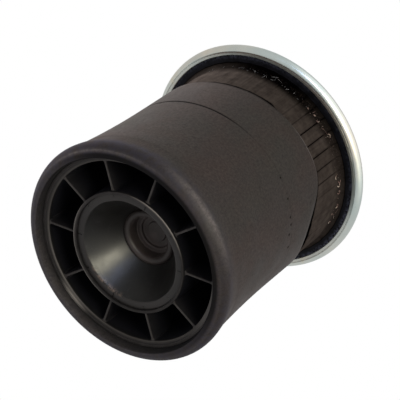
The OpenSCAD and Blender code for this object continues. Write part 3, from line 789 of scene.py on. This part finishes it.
# Bead plate and studs
def make_rim(material):
    """The plate's rolled edge, with a coined groove beside its cut lip."""
    edge = PLATE_EDGE_R + 0.05 * MM
    inner = 2.7 * MM
    groove = ROLL[0]
    outline = [(edge, PLATE_LOW), (edge, PLATE_TOP)] + arc(ROLL, ROLL_R, 90, -84, 36)
    outline += [(groove + 0.3 * MM, LIP_LOW + 0.5 * MM), (groove - 0.25 * MM, LIP_LOW + 0.5 * MM)]
    outline += [(groove - 0.5 * MM, LIP_LOW + 0.1 * MM), (LIP_R + 0.6 * MM, LIP_LOW + 0.05 * MM)]
    outline += [(LIP_R + 0.1 * MM, LIP_LOW + 0.4 * MM), (LIP_R, LIP_LOW + 0.8 * MM)]
    outline += [(LIP_R, LIP_LOW + 2.5 * MM)] + arc(ROLL, inner, -90, 90, 20)

    def shape(r, z, a):
        low_face = (z < LIP_LOW + MM) & (r < groove + 0.6 * MM)
        rust = bell(r - groove, 0.7 * MM) * low_face
        rust = rust * np.clip(0.2 + 2.0 * hump(a, -148, 62) + wander(a, 3, 0.3), 0, 1)
        stain = smooth((LIP_R + 2.2 * MM - r) / (1.6 * MM)) * low_face * (0.2 + 0.6 * hump(a, -124, 46))
        outer_face = r > groove + MM
        # Painted warm reflection on the outer face at two sides and on the turned-over edge at one side
        warm_reflection = (0.22 * hump(a, -98, 30) + 0.2 * hump(a, 165, 40)) * outer_face
        turned = smooth((z - ROLL[1] - 1.3 * MM) / (1.1 * MM)) * outer_face
        warm_reflection = most(warm_reflection, turned * hump(a, -82, 32))
        rust = most(rust, stain, 0.5 * turned * hump(a, -104, 42))
        ripple = wander(a, 31, 0.12 * MM) * (r > LIP_R + MM)
        return r + ripple, z, {"rust": rust, "warm_reflection": warm_reflection}

    return lathe("rolled_rim", outline, material, 1.0, shape, sharp=32)


def thread_shape(crest, pitch, depth, foot, tip, inside=False):
    """Cuts a thread into the wall of a stud or a port, between two heights."""
    def shape(r, z, a):
        phase = (z / pitch - a / 360) % 1
        tooth = np.abs(2 * phase - 1)
        run = smooth((z - foot) / pitch) * smooth((tip - z) / pitch)
        on_wall = np.abs(r - crest) < 0.05 * MM
        cut = depth * tooth * run * on_wall
        return r + cut if inside else r - cut, z, {"rust": 0 * r, "warm_reflection": 0 * r}
    return shape


THREAD_STEP = 0.25 * MM


def stud_outline(inner_r, r, head_r, bottom, tip):
    """From inside a stud's head out round it, and up the wall to the bevel at the tip."""
    under = PLATE_LOW - 0.05 * MM
    collar_r = r + 0.4 * MM
    collar_top = PLATE_TOP + 0.02 * MM
    bevel = 1.5 * MM
    outline = [(inner_r, bottom), (head_r - MM, bottom), (head_r, bottom + MM), (head_r, under)]
    outline += [(collar_r, under), (collar_r, collar_top), (r, collar_top)]
    outline += [(r, z) for z in np.arange(PLATE_TOP + 0.5 * MM, tip - bevel, THREAD_STEP)]
    return outline + [(r, tip - bevel), (r - bevel, tip)]


def make_mounting_stud(material):
    r = 6 * MM
    outline = stud_outline(0, r, 11 * MM, low("mounting_stud").z, MOUNT_TIP) + [(0, MOUNT_TIP)]
    cut = thread_shape(r, 1.75 * MM, 1.0 * MM, PLATE_TOP + 2 * MM, MOUNT_TIP - 0.6 * MM)
    return lathe("mounting_stud_threaded", outline, material, 7.5, cut, (MOUNT_STUD.x, 0), 50)


def make_air_stud(material):
    """The air stud, threaded outside and tapped inside, in one piece."""
    r, port_r, passage_r = 11 * MM, 5.25 * MM, 3.5 * MM
    port_low = AIR_TIP - 16 * MM
    bore = [(port_r, z) for z in np.arange(port_low + 0.3 * MM, AIR_TIP - 0.8 * MM, THREAD_STEP)][::-1]
    outline = stud_outline(passage_r, r, 16 * MM, low("air_stud").z, AIR_TIP)
    outline += [(port_r + 0.8 * MM, AIR_TIP)] + bore + [(port_r, port_low), (passage_r, port_low)]
    outside = thread_shape(r, 1.5 * MM, 0.9 * MM, PLATE_TOP + 2 * MM, AIR_TIP - 0.6 * MM)
    inside = thread_shape(port_r, 1.25 * MM, 0.6 * MM, port_low, AIR_TIP - 0.4 * MM, inside=True)

    def shape(radius, z, a):
        radius, z, _ = outside(radius, z, a)
        return inside(radius, z, a)

    return lathe("air_stud_threaded", outline, material, 6.0, shape, (AIR_STUD.x, 0), 50)


# Piston
def make_skirt(material):
    """The piston's outer wall: a flat face to stand on, a step inside it, and the tapered wall above."""
    face_r = BASE_R - 3 * MM
    inner_r = skirt_in(4 * MM)
    heights = span(4 * MM, SKIRT_TOP, 34)
    outline = [(piston_r(z), z) for z in heights[::-1]]
    outline += [(BASE_R - 0.05 * MM, 1.2 * MM)] + arc((BASE_R - 0.8 * MM, 0.8 * MM), 0.8 * MM, 0, -90, 5)
    outline += [(face_r + 0.6 * MM, 0)] + arc((face_r + 0.5 * MM, 0.5 * MM), 0.5 * MM, -90, -180, 4)
    outline += [(face_r, 1.1 * MM), (face_r - 0.5 * MM, 1.35 * MM)]
    outline += arc((inner_r + 0.8 * MM, 2.6 * MM), 0.8 * MM, -100, -180, 5)
    outline += [(skirt_in(z), z) for z in heights]

    def shape(r, z, a):
        dust_and_sheen = smooth(1 - z / (3.2 * MM)) * 0.8 + 0 * a
        rub = wander(a, 14, 0.5)
        # Painted shade in the groove round the face and deep inside the skirt
        groove = bell(r - face_r, 0.4 * MM) * (z < 1.5 * MM) * (z > 0.3 * MM)
        deep = smooth((z - 3 * MM) / (4 * MM)) * (r < piston_r(z) - MM)
        # Painted highlights: a line on the inner edge, a streak on the face at one side and a lit band at
        # another, over a little wear
        edge = bell(r - inner_r - 0.5 * MM, 0.35 * MM) * (z < 2.4 * MM)
        face = smooth((r - inner_r + MM) / MM) * smooth((3 * MM - z) / MM)
        streak = hump(a, 59, 15) * smooth((r - face_r + MM) / MM)
        face_glint = 0.07 + 0.75 * streak + 0.26 * hump(a, -52, 34)
        glint_and_wear = np.maximum(edge * (0.22 + 0.4 * hump(a, 75, 50)), face * face_glint)
        return r, z, {"dust_and_sheen": dust_and_sheen * (0.8 + rub), "shade_and_grime": most(groove, deep), "glint_and_wear": glint_and_wear}

    return lathe("piston_skirt_wall", outline, material, 1.5, shape)


def make_ribs(material):
    """Ten ribs with rounded lower edges, which swell into fillets at the hub and at the skirt."""
    fillet = 3 * MM
    inside = HUB_R - 0.2 * MM
    end = 0.09
    along = np.concatenate([span(0, end, 6), span(end, 1 - end, 8)[1:], span(1 - end, 1, 6)[1:]])
    half = RIB_T / 2
    section = [(1.0, z) for z in span(SKIRT_TOP, RIB_LOW + half, 10)]
    turns = np.radians(span(0, 180, 8))[1:-1]
    section += [(math.cos(t), RIB_LOW + half - half * math.sin(t)) for t in turns]
    section += [(-1.0, z) for z in span(RIB_LOW + half, SKIRT_TOP, 10)]
    verts, faces = [], []
    for rib in range(RIB_COUNT):
        turn = 2 * math.pi * rib / RIB_COUNT
        c, s = math.cos(turn), math.sin(turn)
        start = len(verts)
        for u in along:
            for side, z in section:
                outside = float(skirt_in(z)) + 0.2 * MM
                r = inside + (outside - inside) * u
                reach = min(r - inside, outside - r)
                swell = fillet - math.sqrt(max(0.0, fillet ** 2 - max(0.0, fillet - reach) ** 2))
                draft = 1 + 0.25 * (z - RIB_LOW) / (SKIRT_TOP - RIB_LOW)
                y = side * (half * draft + swell * 0.8)
                verts.append((r * c - y * s, r * s + y * c, z))
        n = len(section)
        for i in range(len(along) - 1):
            for j in range(n - 1):
                a = start + i * n + j
                faces.append((a, a + 1, a + n + 1, a + n))
            a = start + i * n
            faces.append((a + n - 1, a, a + n, a + 2 * n - 1))
        faces.append(tuple(start + j for j in range(n)))
        last = start + (len(along) - 1) * n
        faces.append(tuple(last + j for j in reversed(range(n))))
    up = np.array([v[2] for v in verts]) - RIB_LOW
    # Dust on the lower edges, painted shade deeper in the pockets, and pale lower edges of painted glint and
    # wear
    masks = {"dust_and_sheen": 0.9 * smooth(1 - up / (2.4 * MM)), "shade_and_grime": smooth((up - 0.3 * MM) / (2.5 * MM)),
             "glint_and_wear": 0.13 * smooth(1 - up / (1.1 * MM))}
    return finish_mesh("piston_ribs_moulded", verts, faces, material, 40, masks)


def make_hub(material):
    """The ring wall round the cone seat."""
    in_r = HUB_R - HUB_T
    ledge = 14.55 * MM
    lip = 0.7 * MM
    outline = arc((HUB_R - lip, lip), lip, 0, -90, 5) + arc((in_r + lip, lip), lip, -90, -180, 5)
    seat_r = in_r - 2.5 * MM
    outline += [(in_r, ledge), (seat_r, ledge), (seat_r, ledge + 3 * MM), (in_r, ledge + 6 * MM)]
    outline += [(in_r, SKIRT_TOP)] + [(HUB_R, z) for z in span(SKIRT_TOP, 4 * MM, 20)]

    def shape(r, z, a):
        # Painted shade deeper inside the ring
        deep = smooth((z - 0.9 * MM) / (3.5 * MM))
        # Painted glints on the ring's outer edge at two sides, and a little wear on its lip
        corner = bell(r - HUB_R + 0.3 * MM, 0.4 * MM) * (z < 0.6 * MM)
        glint_and_wear = corner * np.minimum(1, 1.3 * hump(a, -125, 46) + 1.8 * hump(a, 92, 72))
        dust_and_sheen = (0.40 + 0.35 * hump(a, 180, 80)) * smooth(1 - z / (2.2 * MM))
        return r, z, {"dust_and_sheen": dust_and_sheen, "shade_and_grime": deep + 0 * a, "glint_and_wear": np.maximum(glint_and_wear, 0.05 * (z < 0.6 * MM))}

    return lathe("hub_wall", outline, material, 1.5, shape)


def make_cone(material):
    """The cone seat: a flat land with a short slit at each rib, the polished cone and the well behind it."""
    throat_r = MOUTH_R - CONE_H * CONE_TAN
    throat_z = LAND_Z + CONE_H
    ridge = 3.4 * MM
    well_r = throat_r - 2 * ridge
    ledge_z = throat_z + ridge + 5.6 * MM
    step_r = well_r - 4.7 * MM
    floor_z = ledge_z + 3 * MM
    disc_r, disc_z = 9.5 * MM, floor_z - 1.0 * MM
    nose = 1.4 * MM
    wall = 4 * MM
    back_h = 12 * MM
    outline = [(CUP_R, LAND_Z + back_h), (CUP_R, LAND_Z + 0.5 * MM), (CUP_R - 0.15 * MM, LAND_Z + 0.15 * MM)]
    outline += between([(CUP_R - 0.5 * MM, LAND_Z), (MOUTH_R + 1.4 * MM, LAND_Z)], 0.5 * MM)
    outline += curve((MOUTH_R + 1.2 * MM, LAND_Z), (MOUTH_R + 0.5 * MM, LAND_Z),
                     (MOUTH_R, LAND_Z + 0.3 * MM), (MOUTH_R - 0.6 * MM, LAND_Z + 1.3 * MM), 7)[1:]
    outline += between([outline[-1], (throat_r, throat_z)], 2 * MM)[1:]
    outline += arc((throat_r - ridge, throat_z), ridge, -20, -180, 18)
    outline += between([(well_r, throat_z + MM), (well_r, ledge_z - MM)], 2 * MM)
    outline += arc((well_r - MM, ledge_z - MM), MM, 0, 90, 5)[1:]
    outline += arc((step_r + nose, ledge_z + nose), nose, -90, -180, 8)
    outline += arc((step_r - MM, floor_z - MM), MM, 0, 90, 5)
    outline += [(disc_r + 0.3 * MM, floor_z)]
    outline += arc((disc_r - 0.6 * MM, disc_z + 0.6 * MM), 0.6 * MM, 0, -90, 5)
    outline += between([(disc_r - MM, disc_z), (0, disc_z)], 2 * MM)
    shell_r = well_r + wall
    side = wall / math.cos(CONE_SLOPE)
    outline += [(0, CUP_TOP), (shell_r, CUP_TOP), (shell_r, LAND_Z + (MOUTH_R + side - shell_r) / CONE_TAN),
                (MOUTH_R + side - back_h * CONE_TAN, LAND_Z + back_h)]

    def shape(r, z, a):
        off = offset(a, 0, 360 / RIB_COUNT) * math.radians(1) * r
        cell = (np.round(a * RIB_COUNT / 360) % RIB_COUNT).astype(int)
        draw = random.Random(8)
        reach = np.array([draw.uniform(2.5, 6.5) for _ in range(RIB_COUNT)]) * MM
        land = (z < LAND_Z + 1.5 * MM) & (r > MOUTH_R - MM)
        # Painted shade in each slit
        slit = bell(off, 0.45 * MM) * smooth((r - CUP_R + reach[cell]) / (0.8 * MM)) * land
        rough_edge = wander(a * 3, 17, 0.35 * MM) * bell(r - MOUTH_R, 1.2 * MM) * land
        dust_and_sheen = land * smooth((r - MOUTH_R + 0.5 * MM) / MM) * (0.75 + wander(a, 6, 0.5))
        matt = 0.8 * smooth((throat_r + 11 * MM - r) / (11 * MM)) + 0 * a
        inside = smooth((well_r + 0.8 * MM - r) / (1.2 * MM))
        # Painted light in the well and on its ridge, brightest on one side, where the surface is also matt
        haze_and_painted_light = smooth((throat_r + 1.2 * MM - r) / (1.6 * MM)) * (z > throat_z - ridge - MM)
        haze_and_painted_light = haze_and_painted_light * (0.32 + 0.38 * hump(a, 45, 70) + 0.3 * inside)
        haze_and_painted_light = haze_and_painted_light * (1 - 0.35 * smooth((step_r - r) / (3 * MM)))
        # Painted shade in the groove inside the ridge
        groove = bell(r - well_r, 1.6 * MM) * (z > throat_z)
        chip = bell(r - MOUTH_R - 0.3 * MM, 1.3 * MM) * hump(a, 50, 38) * (z < throat_z)
        masks = {"dust_and_sheen": dust_and_sheen, "chip": chip, "matt": matt, "shade_and_grime": 1.4 * slit + 0.1 * groove, "haze_and_painted_light": haze_and_painted_light}
        return r + rough_edge, z + slit * 0.7 * MM, masks

    return lathe("cone_seat", outline, material, 0.75, shape)


# Stage
CAMERA_PLACE = Vector((-0.53401, -0.95200, -1.06795))
CAMERA_AIM = Vector((-0.027998, -0.050290, 0.053088))
CAMERA_ROLL = 53.57
CAMERA_LENS = 158.44


def make_camera():
    """The photo's camera: under the spring, to one side, and rolled to put its base at the lower left."""
    data = bpy.data.cameras.new("camera")
    data.sensor_width = 36
    data.lens = CAMERA_LENS
    camera = bpy.data.objects.new("camera", data)
    level = (CAMERA_AIM - CAMERA_PLACE).to_track_quat("-Z", "Y")
    camera.rotation_mode = "QUATERNION"
    camera.rotation_quaternion = level @ Quaternion((0, 0, 1), math.radians(CAMERA_ROLL))
    camera.location = CAMERA_PLACE
    bpy.context.scene.collection.objects.link(camera)
    bpy.context.scene.camera = camera
    bpy.context.view_layer.update()
    return camera


def make_lamp(name, camera, right, up, back, size, power, colour=(1, 1, 1), shines=True, lights=True):
    """A soft square lamp, placed from the object's middle along the camera's own right, up and back.
    One that shines shows as a highlight, and one that lights brightens what is dull."""
    data = bpy.data.lights.new(name, "AREA")
    data.size = size
    data.energy = power
    data.color = colour
    lamp = bpy.data.objects.new(name, data)
    middle = (cad_box[0] + cad_box[1]) / 2
    turn = camera.matrix_world.to_quaternion()
    lamp.location = middle + turn @ Vector((right, up, back))
    lamp.rotation_mode = "QUATERNION"
    lamp.rotation_quaternion = (middle - lamp.location).to_track_quat("-Z", "Y")
    lamp.visible_glossy = shines
    lamp.visible_diffuse = lights
    bpy.context.scene.collection.objects.link(lamp)


def make_floor():
    """A pale floor under the spring, seen only from above, so that the view from below looks past it."""
    half = 3.0
    mesh = bpy.data.meshes.new("floor")
    corners = [(-half, -half, 0), (half, -half, 0), (half, half, 0), (-half, half, 0)]
    mesh.from_pydata(corners, [], [(0, 1, 2, 3)])
    floor = bpy.data.objects.new("floor", mesh)
    floor.location.z = LOBE_LOW - 0.2 * MM
    bpy.context.scene.collection.objects.link(floor)
    material = bpy.data.materials.new("floor")
    material.use_nodes = True
    n = Nodes(material.node_tree)
    ray, face = n.add("LightPath"), n.add("NewGeometry")
    seen = n.math("SUBTRACT", ray.outputs["Is Camera Ray"], face.outputs["Backfacing"], clamp=True)
    clear = n.add("BsdfTransparent")
    pale = n.add("BsdfPrincipled", Base_Color=(0.75, 0.75, 0.75, 1), Roughness=1.0, Specular_IOR_Level=0.0,
                 Emission_Color=(1, 1, 1, 1), Emission_Strength=0.35)
    mixed = n.add("MixShader", Fac=seen)
    n.put(mixed.inputs[1], clear.outputs[0])
    n.put(mixed.inputs[2], pale.outputs[0])
    n.add("OutputMaterial", Surface=mixed.outputs[0])
    mesh.materials.append(material)


# Direction of the studio's bright side, and how bright the world is there and opposite, for what shines
BRIGHT_SIDE = Vector((-0.202, -0.959, 0.202))
BRIGHT, DIM = 1.35, 0.70
# Direction of the studio's dark side, and how bright the world is there and opposite, for what doesn't shine
DARK_SIDE = Vector((-0.349, -0.622, -0.698))
SHADE, LIGHT = 0.10, 0.95


def make_world():
    """White behind the object. What shines sees a studio that is bright on one side, and the rest gets
    a light that fades towards the other."""
    world = bpy.data.worlds.new("world")
    bpy.context.scene.world = world
    world.use_nodes = True
    n = Nodes(world.node_tree)
    ray, way = n.add("LightPath"), n.add("TexCoord")

    def turning(side, kind, start, end, first, last):
        """Brightness that runs from first to last as a ray's share along one side runs from start to end."""
        facing = n.add("VectorMath", {"operation": "DOT_PRODUCT"})
        n.put(facing.inputs[0], way.outputs["Generated"])
        n.put(facing.inputs[1], side)
        return n.add("MapRange", {"interpolation_type": kind}, Value=facing.outputs["Value"],
                     From_Min=start, From_Max=end, To_Min=first, To_Max=last).outputs["Result"]

    def choose(switch, off, on):
        made = n.add("Mix")
        for place, value in ((0, ray.outputs[switch]), (2, off), (3, on)):
            n.put(made.inputs[place], value)
        return made.outputs[0]

    shine = turning(BRIGHT_SIDE, "SMOOTHSTEP", 0.35, 0.8, DIM, BRIGHT)
    soft = turning(DARK_SIDE, "LINEAR", 1.0, -1.0, SHADE, LIGHT)
    strength = choose("Is Glossy Ray", soft, shine)
    strength = choose("Is Transmission Ray", strength, 1.0)
    strength = choose("Is Camera Ray", strength, 1.0)
    back = n.add("Background", Color=(1, 1, 1, 1), Strength=strength)
    n.add("OutputWorld", Surface=back.outputs[0])


def dress_nodes(materials):
    """Gives the CAD nodes that stay as they are their finishes."""
    finishes = {
        "inner_plastic": ("piston_deck", "centre_post"),
        "steel": ("threaded_insert", "lower_bead_core", "upper_bead_core", "bump_stop_base"),
        "zinc_part": ("clamp_plate", "clamp_bolt", "clamp_washer", "bead_plate"),
        "liner": ("lower_bead",),
        "bump": ("bump_stop",),
    }
    for finish, nodes in finishes.items():
        for node in nodes:
            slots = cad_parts[node].data.materials
            if len(slots) == 0:
                slots.append(materials[finish])
            for i in range(len(slots)):
                slots[i] = materials[finish]


def main():
    scene = bpy.context.scene
    scene.view_settings.view_transform = "Standard"
    camera = make_camera()
    make_world()
    make_floor()
    make_lamp("key", camera, -0.82, 0.74, -0.45, 0.7, 22, shines=False)
    make_lamp("front", camera, 0.50, 0.06, 1.20, 0.45, 5.5, (1.0, 0.96, 0.84))
    make_lamp("sheen", camera, 0.50, 0.05, 1.20, 0.4, 15, (1.0, 0.94, 0.70), lights=False)
    make_lamp("glow", camera, 0.75, -0.60, 0.86, 1.0, 1.2, (1.0, 0.95, 0.72), lights=False)
    make_lamp("cool", camera, 0.12, 0.55, 1.17, 0.4, 4, (0.50, 0.62, 1.0), lights=False)

    materials = {
        "cover": cover_rubber(), "neck": neck_rubber(), "flange": flange_rubber(), "liner": liner_rubber(),
        "bump": bump_rubber(), "plastic": piston_plastic(), "inner_plastic": piston_plastic("object"),
        "cone": cone_plastic(), "zinc": zinc("zinc_rim", "rest"), "zinc_part": zinc("zinc_part", "object"),
        "zinc_stud": zinc("zinc_stud", "rest", turned=False), "steel": bare_steel(),
        "crumbs": crumb_rubber(),
    }
    dress_nodes(materials)

    bellows = make_bellows(materials["cover"])
    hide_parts("sleeve_cover", "sleeve_plies", "sleeve_liner",
                "lobe_cover", "lobe_plies", "lobe_liner")
    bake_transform(bellows)

    leg = make_leg(materials["cover"])
    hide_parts("leg_cover", "leg_plies", "leg_liner")
    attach(leg, "piston")
    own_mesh(leg)

    pieces = [
        (make_neck(materials["neck"]), "top_plate", "neck_rubber", ["neck_band"]),
        (make_flange(materials["flange"]), "top_plate", "bellows_rubber", ["upper_bead"]),
        (make_crumbs(materials["crumbs"]), "top_plate", "cord_fabric", []),
        (make_rim(materials["zinc"]), "top_plate", "zinc_steel", ["crimped_rim"]),
        (make_mounting_stud(materials["zinc_stud"]), "top_plate", "zinc_steel", ["mounting_stud"]),
        (make_air_stud(materials["zinc_stud"]), "top_plate", "zinc_steel", ["air_stud"]),
        (make_skirt(materials["plastic"]), "piston", "piston_plastic", ["piston_skirt"]),
        (make_ribs(materials["plastic"]), "piston", "piston_plastic", ["piston_ribs"]),
        (make_hub(materials["plastic"]), "piston", "piston_plastic", ["piston_hub"]),
        (make_cone(materials["cone"]), "piston", "cone_plastic", ["cone_cup"]),
    ]
    for piece, body, slot, nodes in pieces:
        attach(piece, body)
        if nodes:
            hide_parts(*nodes)


main()
